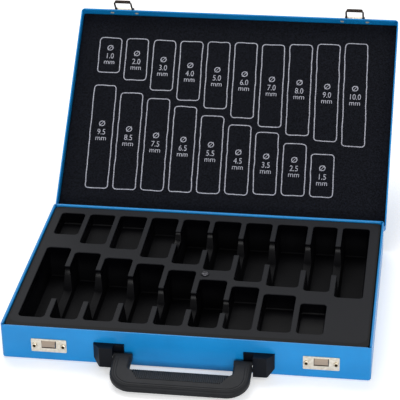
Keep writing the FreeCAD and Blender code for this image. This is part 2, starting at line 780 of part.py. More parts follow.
def make_handle():
    """The U-shaped handle, drawn level and then drooped to its rest."""
    half = handle_width / 2
    end = -(handle_grip_start + handle_grip_depth)
    z0 = -handle_thickness / 2
    plate = slab(handle_width, 2 * (handle_grip_depth + handle_grip_start),
                 handle_outer_corner, z0, -z0)
    plate = plate.common(block(-half, half, end, 0, z0, -z0))
    window = slab(handle_window, 2 * handle_grip_start, handle_inner_corner, z0, -z0)
    body = plate.cut(window)
    long_edges = [e for e in edges_at_height(body, z0) + edges_at_height(body, -z0)
                  if e.BoundBox.YMin < -1e-6]
    body = body.makeFillet(handle_edge, long_edges).cut(finger_bevel())
    parts = [body]
    for side in (-1, 1):
        outer = side * half
        inner = side * handle_window / 2
        x0, x1 = min(outer, inner), max(outer, inner)
        heel = rod(V(x0, 0, 0), X_AXIS, x1 - x0, handle_thickness / 2)
        corner = block(x0, x1, 0, handle_heel, z0, 0)
        parts += [heel, corner]
    handle = fuse(parts).rotated(V(0, 0, 0), X_AXIS, handle_droop)
    handle = handle.translated(V(0, handle_axis_y, handle_axis_z))
    return handle.cut([handle_pin_hole(s, handle_pin_end_gap) for s in (-1, 1)])


def make_handle_bracket(side):
    """A moulded bracket: a plate, the block that holds the pin and a lip over the arm."""
    inner_x = bracket_centre_x - bracket_width / 2
    outer_x = bracket_centre_x + bracket_width / 2
    block_x = handle_width / 2 + handle_arm_to_block
    top = bracket_bottom + bracket_height
    plate_y = front_y - bracket_plate
    face_y = front_y - bracket_reach
    plate = block(inner_x, outer_x, plate_y, front_y, bracket_bottom, top)
    plan = [V(block_x, front_y, bracket_bottom), V(block_x, face_y, bracket_bottom),
            V(outer_x - bracket_side_bevel, face_y, bracket_bottom),
            V(outer_x, plate_y, bracket_bottom), V(outer_x, front_y, bracket_bottom)]
    boss = Part.Face(Part.makePolygon(plan + plan[:1])).extrude(V(0, 0, bracket_height))
    lip = block(inner_x, block_x + 1, front_y - bracket_lip_reach, front_y,
                top - bracket_lip_height, top)
    corner = [V(outer_x + 1, face_y - 1, bracket_bottom - 1),
              V(outer_x + 1, face_y - 1, bracket_bottom + bracket_chamfer + 1),
              V(outer_x - bracket_chamfer - 1, face_y - 1, bracket_bottom - 1)]
    wedge = Part.Face(Part.makePolygon(corner + corner[:1]))
    wedge = wedge.extrude(V(0, bracket_reach + 2, 0))
    bracket = fuse([plate, boss, lip]).cut(wedge)
    if side < 0:
        bracket = mirrored(bracket)
    holes = [rivet_hole(p, OUT_BACK, bracket_screw_length)
             for p in bracket_screw_points(side)]
    return bracket.cut(holes + [handle_pin_hole(side, handle_pin_end_gap)])


def make_handle_pin(side):
    """The steel pin from an arm of the handle into its bracket."""
    x0 = handle_width / 2 - handle_pin_in_arm
    length = handle_pin_in_arm + handle_arm_to_block + handle_pin_in_block
    return rod(V(side * x0, handle_axis_y, handle_axis_z), X_AXIS * side, length,
               handle_pin_radius)


def make_bracket_screws():
    """Four screws from inside the case into the brackets."""
    screws = []
    for side in (-1, 1):
        for point in bracket_screw_points(side):
            head = rod(point, OUT_BACK, rivet_head_height, rivet_head_radius)
            shank = rod(point, OUT_FRONT, bracket_screw_length, rivet_radius)
            screws.append(fuse([head, shank]))
    return Part.makeCompound(screws)


# ---------------------------------------------------------------- the nodes
fixed_nodes = {
    "base_shell": make_base_shell(),
    "tray_insert": make_tray(),
    "tray_screw": make_tray_screw(),
    "tray_post": make_tray_post(),
    "hinge_base_rivets": make_hinge_rivets(False),
    "catch_rivets": make_catch_rivets(),
    "bracket_screws": make_bracket_screws(),
    "handle": make_handle(),
}
lid_nodes = {
    "lid_shell": make_lid_shell(),
    "lid_foam": make_lid_foam(),
    "hinge_lid_rivets": make_hinge_rivets(True),
    "clasp_rivets": make_clasp_rivets(),
}
for hand, side in (("left", -1), ("right", 1)):
    fixed_nodes["hinge_base_leaf_" + hand] = make_hinge_base_leaf(side * hinge_centre_x)
    fixed_nodes["hinge_pin_" + hand] = make_hinge_pin(side * hinge_centre_x)
    fixed_nodes["catch_plate_" + hand] = make_catch_plate(side * clasp_centre_x)
    fixed_nodes["handle_bracket_" + hand] = make_handle_bracket(side)
    fixed_nodes["handle_pin_" + hand] = make_handle_pin(side)
    lid_nodes["hinge_lid_leaf_" + hand] = make_hinge_lid_leaf(side * hinge_centre_x)
    lid_nodes["clasp_plate_" + hand] = make_clasp_plate(side * clasp_centre_x)
    lid_nodes["clasp_loop_" + hand] = make_clasp_loop(side * clasp_centre_x)
    lid_nodes["clasp_pin_" + hand] = make_clasp_pin(side * clasp_centre_x)

os.makedirs("parts", exist_ok=True)
for name, shape in fixed_nodes.items():
    shape.exportStep("parts/" + name + ".step")
for name, shape in lid_nodes.items():
    hold_open(shape).exportStep("parts/" + name + ".step")
print("nodes:", len(fixed_nodes) + len(lid_nodes))
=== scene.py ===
# %% [markdown]
# # Drill bit case, dressed in Blender
#
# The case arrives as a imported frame: every steel sheet, rivet and moulding is already there at
# its real size, and grouped into bodies that move.  This notebook gives each surface its finish,
# makes the foam in the lid with its printed sizes, rounds the moulded tray, and puts the case on
# a pale floor under soft light.  Lengths are in metres; mm() turns millimetres into metres.

# %% Load the frame
import bpy
import bmesh
import json
import math
from mathutils import Matrix, Vector


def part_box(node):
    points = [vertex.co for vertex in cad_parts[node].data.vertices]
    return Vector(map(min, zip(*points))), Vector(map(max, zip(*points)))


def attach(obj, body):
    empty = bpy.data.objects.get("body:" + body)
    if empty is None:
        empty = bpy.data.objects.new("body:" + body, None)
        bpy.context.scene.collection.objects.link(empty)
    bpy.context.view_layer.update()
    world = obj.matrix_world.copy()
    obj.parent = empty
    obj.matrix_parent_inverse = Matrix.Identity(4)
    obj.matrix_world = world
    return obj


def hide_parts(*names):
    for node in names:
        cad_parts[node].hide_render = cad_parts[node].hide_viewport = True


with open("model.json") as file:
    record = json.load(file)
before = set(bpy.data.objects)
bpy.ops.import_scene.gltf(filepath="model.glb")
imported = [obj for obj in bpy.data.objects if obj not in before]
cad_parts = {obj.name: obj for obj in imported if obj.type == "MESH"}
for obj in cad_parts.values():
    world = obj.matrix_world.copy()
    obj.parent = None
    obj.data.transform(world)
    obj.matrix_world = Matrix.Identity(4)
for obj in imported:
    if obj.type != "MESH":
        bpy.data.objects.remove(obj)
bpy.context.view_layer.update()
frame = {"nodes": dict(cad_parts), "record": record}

print("nodes in the frame:", len(frame["nodes"]))


# %% Units, colours and one way to add a node
def mm(value):
    """Millimetres to metres."""
    return value / 1000.0


def colour(hex_code):
    """An sRGB hex colour as the linear RGBA that Blender's sockets hold."""
    channels = [int(hex_code[n:n + 2], 16) / 255 for n in (1, 3, 5)]
    linear = [c / 12.92 if c <= 0.04045 else ((c + 0.055) / 1.055) ** 2.4 for c in channels]
    return (*linear, 1.0)


def add_node(tree, kind, settings=None, inputs=None):
    """Add one node to a tree; an input is a value, or another node's output to link."""
    node = tree.nodes.new(kind)
    for name, value in (settings or {}).items():
        setattr(node, name, value)
    for name, value in (inputs or {}).items():
        if isinstance(value, bpy.types.NodeSocket):
            tree.links.new(value, node.inputs[name])
        else:
            node.inputs[name].default_value = value
    return node


def joint_named(name):
    """The record's entry for one joint."""
    return next(j for j in frame["record"]["behaviour"]["joints"] if j["name"] == name)


print("one millimetre is", mm(1), "m")

# %% [markdown]
# ## A start for every finish
#
# All the finishes share a skeleton: a Principled shader, object coordinates so that the pattern
# sticks to the piece, and a bump made from fine noise.  The function below builds that skeleton
# and returns the parts that a finish may still want to change.  The noise scale is worked out
# from the real size of one grain, because a Noise texture has about one blob per unit.  A second
# function lets the colour drift a little, since no real surface has one even colour.


# %% The shared skeleton
def new_finish(name, grain_mm, bump_mm, **sockets):
    """A material with a Principled shader and a bump of fine noise."""
    material = bpy.data.materials.new(name)
    material.use_nodes = True
    tree = material.node_tree
    shader = tree.nodes["Principled BSDF"]
    for socket, value in sockets.items():
        shader.inputs[socket.replace("_", " ")].default_value = value
    place = add_node(tree, "ShaderNodeTexCoord")
    grain = add_node(tree, "ShaderNodeTexNoise", {}, {
        "Vector": place.outputs["Object"], "Scale": 1 / mm(grain_mm), "Detail": 3.0})
    bump = add_node(tree, "ShaderNodeBump", {}, {
        "Height": grain.outputs["Fac"], "Distance": mm(bump_mm), "Strength": 1.0})
    tree.links.new(bump.outputs["Normal"], shader.inputs["Normal"])
    return material, tree, shader, place


def mottle(tree, shader, place, light, dark, patch_mm, low=0.35, high=0.65):
    """Let the base colour drift between two near colours in soft patches."""
    patches = add_node(tree, "ShaderNodeTexNoise", {}, {
        "Vector": place.outputs["Object"], "Scale": 1 / mm(patch_mm), "Detail": 4.0})
    ramp = add_node(tree, "ShaderNodeValToRGB", {}, {"Fac": patches.outputs["Fac"]})
    ramp.color_ramp.elements[0].position = low
    ramp.color_ramp.elements[0].color = colour(dark)
    ramp.color_ramp.elements[1].position = high
    ramp.color_ramp.elements[1].color = colour(light)
    tree.links.new(ramp.outputs["Color"], shader.inputs["Base Color"])


print("finish skeleton ready")

# %% [markdown]
# ## Blue enamel
#
# The steel sheet is sprayed with a stoving enamel.  Sprayed enamel is a coloured coat under a
# clear glossy skin, and the skin is never quite flat: it has "orange peel", waves about a
# millimetre and a half across and only some hundredths of a millimetre deep.  A little coat on
# the shader gives the hard highlight, and the orange peel breaks it up.

# %% Blue enamel
blue_enamel, tree, shader, place = new_finish(
    "blue_enamel", grain_mm=1.6, bump_mm=0.012, Roughness=0.36, Coat_Weight=0.1,
    Coat_Roughness=0.12, Specular_IOR_Level=0.34)
mottle(tree, shader, place, "#118ed6", "#0e85cb", patch_mm=40)
print("material:", blue_enamel.name)

# %% [markdown]
# ## Tray sheet
#
# The tray is black polystyrene sheet, heated and drawn down over a tool.  The flat land keeps the
# fine matt texture that was rolled into the sheet; where the sheet stretched into a pocket, the
# texture is pulled smooth and shines.  The height above the base tells the two apart, so the
# roughness follows the object's Z coordinate: dull on the land, shiny just below it where the
# sheet is stretched most, and dull again on the floors.  The colour follows the height too: the
# pockets get a darker copy of the land's colour, as painted shade inside them.  Along its outer
# border the sheet rolls down into the gap beside the wall, where it lies in shade, and this shade
# is painted as a dark rounded frame of a few millimetres, drawn from the distance to the border.

# %% Tray sheet: sheen, and painted pocket shade by height
tray_half = Vector(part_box("tray_insert")[1])
tray_top = tray_half.z
land_start, land_full = mm(1.4), mm(0.2)
deep_full, deep_start = mm(20), mm(6)
tray_sheet, tree, shader, place = new_finish(
    "black_tray_sheet", grain_mm=0.5, bump_mm=0.02, Roughness=0.4, Specular_IOR_Level=0.12)
height = add_node(tree, "ShaderNodeSeparateXYZ", {}, {"Vector": place.outputs["Object"]})
on_land = add_node(tree, "ShaderNodeMapRange", {}, {
    "Value": height.outputs["Z"], "From Min": tray_top - land_start,
    "From Max": tray_top - land_full})
deep = add_node(tree, "ShaderNodeMapRange", {}, {
    "Value": height.outputs["Z"], "From Min": tray_top - deep_full,
    "From Max": tray_top - deep_start, "To Min": 0.6, "To Max": 0.2})
sheen = add_node(tree, "ShaderNodeMix", {"data_type": "FLOAT"}, {
    "Factor": on_land.outputs["Result"], "A": deep.outputs["Result"], "B": 0.55})
tree.links.new(sheen.outputs["Result"], shader.inputs["Roughness"])
mirror = add_node(tree, "ShaderNodeMapRange", {}, {
    "Value": on_land.outputs["Result"], "To Min": 0.07, "To Max": 0.12})
tree.links.new(mirror.outputs["Result"], shader.inputs["Specular IOR Level"])
# Painted shade: below the land the pockets take a darker copy of the land's colour.
painted_pocket_shade = add_node(tree, "ShaderNodeMix", {"data_type": "RGBA"}, {
    "Factor": on_land.outputs["Result"], "A": colour("#030305"), "B": colour("#15161a")})
print("land of the tray at", round(tray_top * 1000, 2), "mm")

# %% Tray sheet: painted shade along the border
border_corner = mm(11)
side_gap, front_gap, back_gap = mm(2.2), mm(6.6), mm(2.6)
border_blur = mm(0.4)
straight = (tray_half.x - side_gap - border_corner,
            tray_half.y - (front_gap + back_gap) / 2 - border_corner, tray_top)
centred = add_node(tree, "ShaderNodeVectorMath", {"operation": "SUBTRACT"}, {
    0: place.outputs["Object"], 1: (0.0, (front_gap - back_gap) / 2, 0.0)})
folded = add_node(tree, "ShaderNodeVectorMath", {"operation": "ABSOLUTE"}, {
    0: centred.outputs["Vector"]})
past_straight = add_node(tree, "ShaderNodeVectorMath", {"operation": "SUBTRACT"}, {
    0: folded.outputs["Vector"], 1: straight})
corner_part = add_node(tree, "ShaderNodeVectorMath", {"operation": "MAXIMUM"}, {
    0: past_straight.outputs["Vector"], 1: (0.0, 0.0, 0.0)})
from_corner = add_node(tree, "ShaderNodeVectorMath", {"operation": "LENGTH"}, {
    0: corner_part.outputs["Vector"]})
# Painted shade of the gap beside the wall: a dark frame along the tray's border.
gap_shade_mask = add_node(tree, "ShaderNodeMapRange", {}, {
    "Value": from_corner.outputs["Value"], "From Min": border_corner - border_blur,
    "From Max": border_corner + border_blur})
painted_gap_shade = add_node(tree, "ShaderNodeMix", {"data_type": "RGBA"}, {
    "Factor": gap_shade_mask.outputs["Result"], "A": painted_pocket_shade.outputs["Result"],
    "B": colour("#030304")})
tree.links.new(painted_gap_shade.outputs["Result"], shader.inputs["Base Color"])
print("border width at the front:", round(front_gap * 1000, 1), "mm")

# %% [markdown]
# ## Foam, ink and mouldings
#
# The lid is lined with closed-cell polyethylene foam: its cells are cut open at the surface, so it
# is rough, takes hardly any highlight and looks faintly speckled.  The ink is plain white screen
# ink, thinner in places.  The handle is a dark grey polypropylene moulding with spark-eroded
# grain, and its brackets are blacker and a little shinier.

# %% Foam, ink and mouldings
foam_finish, tree, shader, place = new_finish(
    "closed_cell_foam", grain_mm=0.9, bump_mm=0.05, Roughness=0.95, Specular_IOR_Level=0.08)
mottle(tree, shader, place, "#181a21", "#090a0e", patch_mm=1.7)
white_ink, tree, shader, place = new_finish(
    "white_screen_ink", grain_mm=0.8, bump_mm=0.01, Roughness=0.7)
mottle(tree, shader, place, "#bcbdc8", "#8a8b97", patch_mm=1.2)
handle_plastic, tree, shader, place = new_finish(
    "grey_polypropylene", grain_mm=0.7, bump_mm=0.03, Roughness=0.5, Specular_IOR_Level=0.15)
mottle(tree, shader, place, "#1e1f22", "#18191c", patch_mm=15)
bracket_plastic, tree, shader, place = new_finish(
    "black_polypropylene", grain_mm=0.7, bump_mm=0.02, Roughness=0.38, Specular_IOR_Level=0.12)
mottle(tree, shader, place, "#060a14", "#04070e", patch_mm=15)
print("soft and moulded finishes:", foam_finish.name, white_ink.name, handle_plastic.name)

# %% [markdown]
# ## Metals
#
# Five plated metals show: dull nickel on the clasp plates and hinges, brown-black on the draw
# loops, bright zinc on screws and pins, black oxide on the tray's screw and dull tin on the
# clasps' rivets.  Zinc, nickel and oxide are fully metallic.  The brown-black plate and the tin
# are partly tarnished, and tarnish is no metal, so they are less so.  The roughness of each
# drifts in small patches, as barrel plating does.


# %% Metals
def plated_metal(name, light, dark, roughness, patch_mm=3.0, metallic=1.0):
    """A plated metal with an uneven polish; its roughness drifts by a little each way."""
    drift = 0.08
    material, tree, shader, place = new_finish(
        name, grain_mm=0.6, bump_mm=0.006, Metallic=metallic, Roughness=roughness)
    mottle(tree, shader, place, light, dark, patch_mm)
    polish = add_node(tree, "ShaderNodeTexNoise", {}, {
        "Vector": place.outputs["Object"], "Scale": 1 / mm(patch_mm * 0.6), "Detail": 2.0})
    spread = add_node(tree, "ShaderNodeMapRange", {}, {
        "Value": polish.outputs["Fac"], "To Min": roughness - drift,
        "To Max": roughness + drift})
    tree.links.new(spread.outputs["Result"], shader.inputs["Roughness"])
    return material


nickel = plated_metal("dull_nickel_plate", "#dad3c6", "#c4bcad", 0.34)
loop_steel = plated_metal("brown_black_plate", "#3a302a", "#241e1b", 0.42, metallic=0.75)
bright_zinc = plated_metal("bright_zinc", "#d8d9da", "#bfc1c4", 0.3)
tin_plate = plated_metal("tinned_rivet", "#e6e2d0", "#cbc6b2", 0.5, metallic=0.25)
black_oxide = plated_metal("black_oxide_steel", "#4a4a4e", "#303034", 0.26)
print("metals:", *(m.name for m in (nickel, loop_steel, bright_zinc, tin_plate, black_oxide)))

# %% [markdown]
# ## Painted shade on the catches
#
# Each catch is a nickel-plated plate with a tab lanced out of it.  The tab is painted a browner,
# darker tone than the plate, as painted shade on its tilted face, and a dark patch on the plate
# round it is the painted shadow that the tab casts.  The rivets beside it are hollow, and the
# hollow is painted dark brown: partly the brass there, partly painted shade.  Both catches share
# one material, because taking the absolute value of X folds the right-hand catch onto the
# left-hand one, and the marks are then simple distances in millimetres.


# %% Masks for marks
def mark_metal(material, hex_code, mask):
    """Blend a mark's colour into a metal's own colour where a mask is 1."""
    tree = material.node_tree
    base = tree.nodes["Principled BSDF"].inputs["Base Color"]
    own = base.links[0].from_socket
    blend = add_node(tree, "ShaderNodeMix", {"data_type": "RGBA"}, {
        "Factor": mask, "A": own, "B": colour(hex_code)})
    tree.links.new(blend.outputs["Result"], base)


def distances(tree, centre, half_spacing=0.0):
    """How far a point lies from a centre, across and up with both hands folded, and its Y."""
    place = add_node(tree, "ShaderNodeTexCoord")
    parts = add_node(tree, "ShaderNodeSeparateXYZ", {}, {"Vector": place.outputs["Object"]})
    folded = add_node(tree, "ShaderNodeMath", {"operation": "ABSOLUTE"}, {
        0: parts.outputs["X"]})
    aside = add_node(tree, "ShaderNodeMath", {"operation": "SUBTRACT"}, {
        0: folded.outputs["Value"], 1: centre[0]})
    across = add_node(tree, "ShaderNodeMath", {"operation": "ABSOLUTE"}, {
        0: aside.outputs["Value"]})
    beside = add_node(tree, "ShaderNodeMath", {"operation": "SUBTRACT"}, {
        0: across.outputs["Value"], 1: half_spacing})
    above = add_node(tree, "ShaderNodeMath", {"operation": "SUBTRACT"}, {
        0: parts.outputs["Z"], 1: centre[1]})
    up = add_node(tree, "ShaderNodeMath", {"operation": "ABSOLUTE"}, {0: above.outputs["Value"]})
    return beside.outputs["Value"], up.outputs["Value"], parts.outputs["Y"]


def within(tree, value, limit, blur):
    """1 where a value is under a limit and 0 above it, with a soft change between."""
    return add_node(tree, "ShaderNodeMapRange", {}, {
        "Value": value, "From Min": limit - blur / 2, "From Max": limit + blur / 2,
        "To Min": 1.0, "To Max": 0.0}).outputs["Result"]


print("masks ready")

# %% The painted shadow round the tab and the painted shade on it
front_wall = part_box("base_shell")[0][1]
catch_low, catch_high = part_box("catch_plate_right")
catch_centre_x = (catch_low[0] + catch_high[0]) / 2
tab_start = front_wall - mm(1.3)
window_centre = (catch_centre_x, mm(18.6))
shadow_half_width, shadow_half_height, mark_blur = mm(7.2), mm(4.2), mm(0.3)
shaded_catch_nickel = plated_metal("catch_nickel_painted_shade", "#dad3c6", "#c4bcad", 0.34)
catch_tree = shaded_catch_nickel.node_tree
across, up, outward = distances(catch_tree, window_centre)
tab_shadow_mask = add_node(catch_tree, "ShaderNodeMath", {"operation": "MULTIPLY"}, {
    0: within(catch_tree, across, shadow_half_width, mark_blur),
    1: within(catch_tree, up, shadow_half_height, mark_blur)})
# Painted shadow of the tab: a dark patch on the plate round the tab.
mark_metal(shaded_catch_nickel, "#2e2520", tab_shadow_mask.outputs["Value"])
# The tab's browner tone is painted shade on its tilted face, darker than the flat plate.
mark_metal(shaded_catch_nickel, "#9c8e80", within(catch_tree, outward, tab_start, mark_blur))
print("catch centre:", round(catch_centre_x * 1000, 2), "mm")

# %% The hollow rivets
rivets_low, rivets_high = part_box("catch_rivets")
rivet_middle = (catch_centre_x, (rivets_low[2] + rivets_high[2]) / 2)
rivet_head = (rivets_high[2] - rivets_low[2]) / 2
half_spacing = rivets_high[0] - rivet_head - catch_centre_x
rivet_nickel = plated_metal("hollow_rivet_plate", "#dad3c6", "#b9ae98", 0.3)
rivet_tree = rivet_nickel.node_tree
hollow_radius, hollow_blur = mm(1.55), mm(0.4)
beside, up, _ = distances(rivet_tree, rivet_middle, half_spacing)
from_rivet = add_node(rivet_tree, "ShaderNodeCombineXYZ", {}, {"X": beside, "Y": up})
from_axis = add_node(rivet_tree, "ShaderNodeVectorMath", {"operation": "LENGTH"}, {
    0: from_rivet.outputs["Vector"]})
# The dark brown in the hollow is partly the brass there and partly painted shade in the recess.
hollow_brass_and_shade = within(rivet_tree, from_axis.outputs["Value"], hollow_radius, hollow_blur)
mark_metal(rivet_nickel, "#3a2c12", hollow_brass_and_shade)
print("rivets stand", round(half_spacing * 1000, 2), "mm from the catch's middle")

# %% [markdown]
# ## Give the frame's pieces their finishes
#
# Most pieces keep the shape they have in the frame and only need a finish.  A table from the
# start of a piece's name to its material covers them all.

# %% Dress the frame
finishes = {
    "base_shell": blue_enamel, "lid_shell": blue_enamel, "tray_insert": tray_sheet,
    "tray_screw": black_oxide, "tray_post": bright_zinc, "lid_foam": foam_finish,
    "hinge_pin": bright_zinc, "hinge": nickel, "catch_rivets": rivet_nickel,
    "catch_plate": shaded_catch_nickel, "clasp_plate": nickel, "clasp_rivets": tin_plate,
    "clasp_loop": loop_steel, "clasp_pin": loop_steel, "handle_bracket": bracket_plastic,
    "handle_pin": bright_zinc, "handle": handle_plastic, "bracket_screws": bright_zinc,
}


def paint(piece, material):
    """Give a piece one material all over."""
    piece.data.materials.clear()
    piece.data.materials.append(material)


for node_name, piece in frame["nodes"].items():
    start = max((key for key in finishes if node_name.startswith(key)), key=len)
    paint(piece, finishes[start])
print("dressed:", len(frame["nodes"]), "pieces")

# %% [markdown]
# ## Small mesh tools
#
# What follows draws many shapes in code, and a few steps come back each time: let Blender work out
# a shape's modifiers, weld the triangles of a frame piece, pull an outline up into a slab, add one
# mesh to another, and put the result in its place on the body that carries it.


# %% From bmesh, curve or text to a plain mesh
weld_distance = mm(0.002)


def mesh_from(mesh, name):
    """Turn a bmesh into a plain mesh and free it."""
    data = bpy.data.meshes.new(name)
    mesh.to_mesh(data)
    mesh.free()
    return data


def plain_mesh(data, prepare=None):
    """The mesh that a mesh, curve or text becomes; `prepare` may add modifiers first."""
    host = bpy.data.objects.new(data.name, data)
    bpy.context.scene.collection.objects.link(host)
    if prepare:
        prepare(host)
    bpy.context.view_layer.update()
    evaluated = host.evaluated_get(bpy.context.evaluated_depsgraph_get())
    result = bpy.data.meshes.new_from_object(evaluated)
    bpy.data.objects.remove(host)
    return result


def welded(data):
    """A bmesh of a mesh, with the points merged that its triangles share."""
    mesh = bmesh.new()
    mesh.from_mesh(data)
    bmesh.ops.remove_doubles(mesh, verts=mesh.verts, dist=weld_distance)
    return mesh


def add_to(mesh, data, place):
    """Add a mesh's faces to a bmesh at a place, and delete the mesh."""
    data.transform(place)
    mesh.from_mesh(data)
    bpy.data.meshes.remove(data)


print("points closer than", round(weld_distance * 1000, 4), "mm are one point")


# %% Outlines, slabs and the last step of every piece
def rounded_u(half_width, start, reach, corner, steps, inset=0.0):
    """Points up one side, round two corners and down the other side, as (x, y)."""
    radius = corner - inset
    turn = [math.radians(90 * n / steps) for n in range(steps + 1)]
    side = [(half_width - inset, start)]
    side += [(half_width - corner + radius * math.cos(a), reach - corner + radius * math.sin(a))
             for a in turn]
    return side + [(-x, y) for x, y in reversed(side)]


def add_slab(mesh, outline, low, high):
    """Add a closed slab to a bmesh: an outline drawn at two heights."""
    under, over = ([mesh.verts.new((x, y, z)) for x, y in outline] for z in (low, high))
    mesh.faces.new(under[::-1])
    mesh.faces.new(over)
    for n in range(len(outline)):
        after = (n + 1) % len(outline)
        mesh.faces.new((under[n], under[after], over[after], over[n]))


def place_piece(name, data, place, material, body, smooth=False):
    """Put a mesh in its place for good, give it a finish and let it ride on a body."""
    data.transform(place)
    for face in data.polygons:
        face.use_smooth = smooth
    piece = bpy.data.objects.new(name, data)
    bpy.context.scene.collection.objects.link(piece)
    paint(piece, material)
    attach(piece, body)
    return piece


print("a loop's outline has", len(rounded_u(1, 0, 1, 0.2, 6)), "points")

# %% [markdown]
# ## The lid's own sheet of paper
#
# The foam and its print are easiest to draw flat, with X to the right, Y away from the hinge and
# Z out of the foam, the way someone reads the open lid.  The record knows how far the lid turns
# from open to shut, so turning it back gives the closed lid, where the foam is level and can be
# measured.  The matrix `from_sheet` then carries anything drawn flat to its place in the open lid.

# %% From the flat sheet to the open lid
lid_joint = joint_named("lid_hinge")
hinge_line = Vector(lid_joint["pos_m"])
swing = Matrix.Rotation(-math.radians(lid_joint["range_deg"][1]), 4, "X")
closed_to_open = Matrix.Translation(hinge_line) @ swing @ Matrix.Translation(-hinge_line)
foam_points = [closed_to_open.inverted() @ v.co for v in frame["nodes"]["lid_foam"].data.vertices]
foam_low = Vector([min(p[axis] for p in foam_points) for axis in range(3)])
foam_high = Vector([max(p[axis] for p in foam_points) for axis in range(3)])
foam_size = foam_high - foam_low
sheet_origin = Vector((0, (foam_low.y + foam_high.y) / 2, foam_low.z))
from_sheet = closed_to_open @ Matrix.Translation(sheet_origin) @ Matrix.Rotation(math.pi, 4, "X")
print("foam sheet in mm:", [round(v * 1000, 1) for v in foam_size])

# %% [markdown]
# ## The foam sheet
#
# Foam is never quite flat: it was split from a block and glued by hand, so its face swells and
# dips by a tenth or two.  The sheet is a fine grid whose rows crowd together near the edges, where
# the face rolls over in a small radius.  A wall of quads and one back face close it.


# %% Build the foam
def graded_steps(length, edge_radius, pitch):
    """Positions across a sheet: close together over the rounded edges, even between them."""
    roll = [edge_radius * (1 - math.cos(math.radians(a))) for a in (0, 18, 36, 54, 72, 90)]
    count = round((length - 2 * edge_radius) / pitch)
    inner = [edge_radius + (length - 2 * edge_radius) * n / count for n in range(1, count)]
    return roll + inner + [length - r for r in reversed(roll)]


def rolled_drop(distance, radius):
    """How far a rounded edge lies below the face at a distance from the rim."""
    if distance >= radius:
        return 0.0
    return radius - math.sqrt(radius ** 2 - (radius - distance) ** 2)


def foam_sheet(width, depth, thickness):
    """A closed foam sheet with its face at Z = 0 and its body below."""
    edge, pitch = mm(0.9), mm(2.4)
    swell_height, swell_x, swell_y = mm(0.05), mm(23), mm(31)
    xs = [x - width / 2 for x in graded_steps(width, edge, pitch)]
    ys = [y - depth / 2 for y in graded_steps(depth, edge, pitch)]
    mesh = bmesh.new()
    rows = []
    for y in ys:
        row = []
        for x in xs:
            rim = min(width / 2 - abs(x), depth / 2 - abs(y))
            swell = swell_height * (math.sin(x / swell_x) * math.cos(y / swell_y) - 1)
            row.append(mesh.verts.new((x, y, swell - rolled_drop(rim, edge))))
        rows.append(row)
    for low, high in zip(rows, rows[1:]):
        for a, b, c, d in zip(low, low[1:], high[1:], high):
            mesh.faces.new((a, b, c, d))
    rim = (rows[0] + [row[-1] for row in rows[1:-1]] + rows[-1][::-1]
           + [row[0] for row in rows[-2:0:-1]])
    back = [mesh.verts.new((v.co.x, v.co.y, -thickness)) for v in rim]
    for n in range(len(rim)):
        following = (n + 1) % len(rim)
        mesh.faces.new((rim[following], rim[n], back[n], back[following]))
    mesh.faces.new(back[::-1])
    return mesh_from(mesh, "lid_foam_sheet")


foam = place_piece("lid_foam_sheet", foam_sheet(foam_size.x, foam_size.y, foam_size.z),
                   from_sheet, foam_finish, "lid", smooth=True)
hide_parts("lid_foam")
print("foam faces:", len(foam.data.polygons))

# %% [markdown]
# ## The printed outlines
#
# Each pocket of the tray has its outline on the foam, so that the owner knows what is missing.
# Nineteen outlines of one kind are a job for Geometry Nodes: a rectangle curve, rounded corners,
# a little waviness from the soft foam under the screen, and a flat ribbon swept along it.  The
# node tree has named inputs, so one tree draws every size.


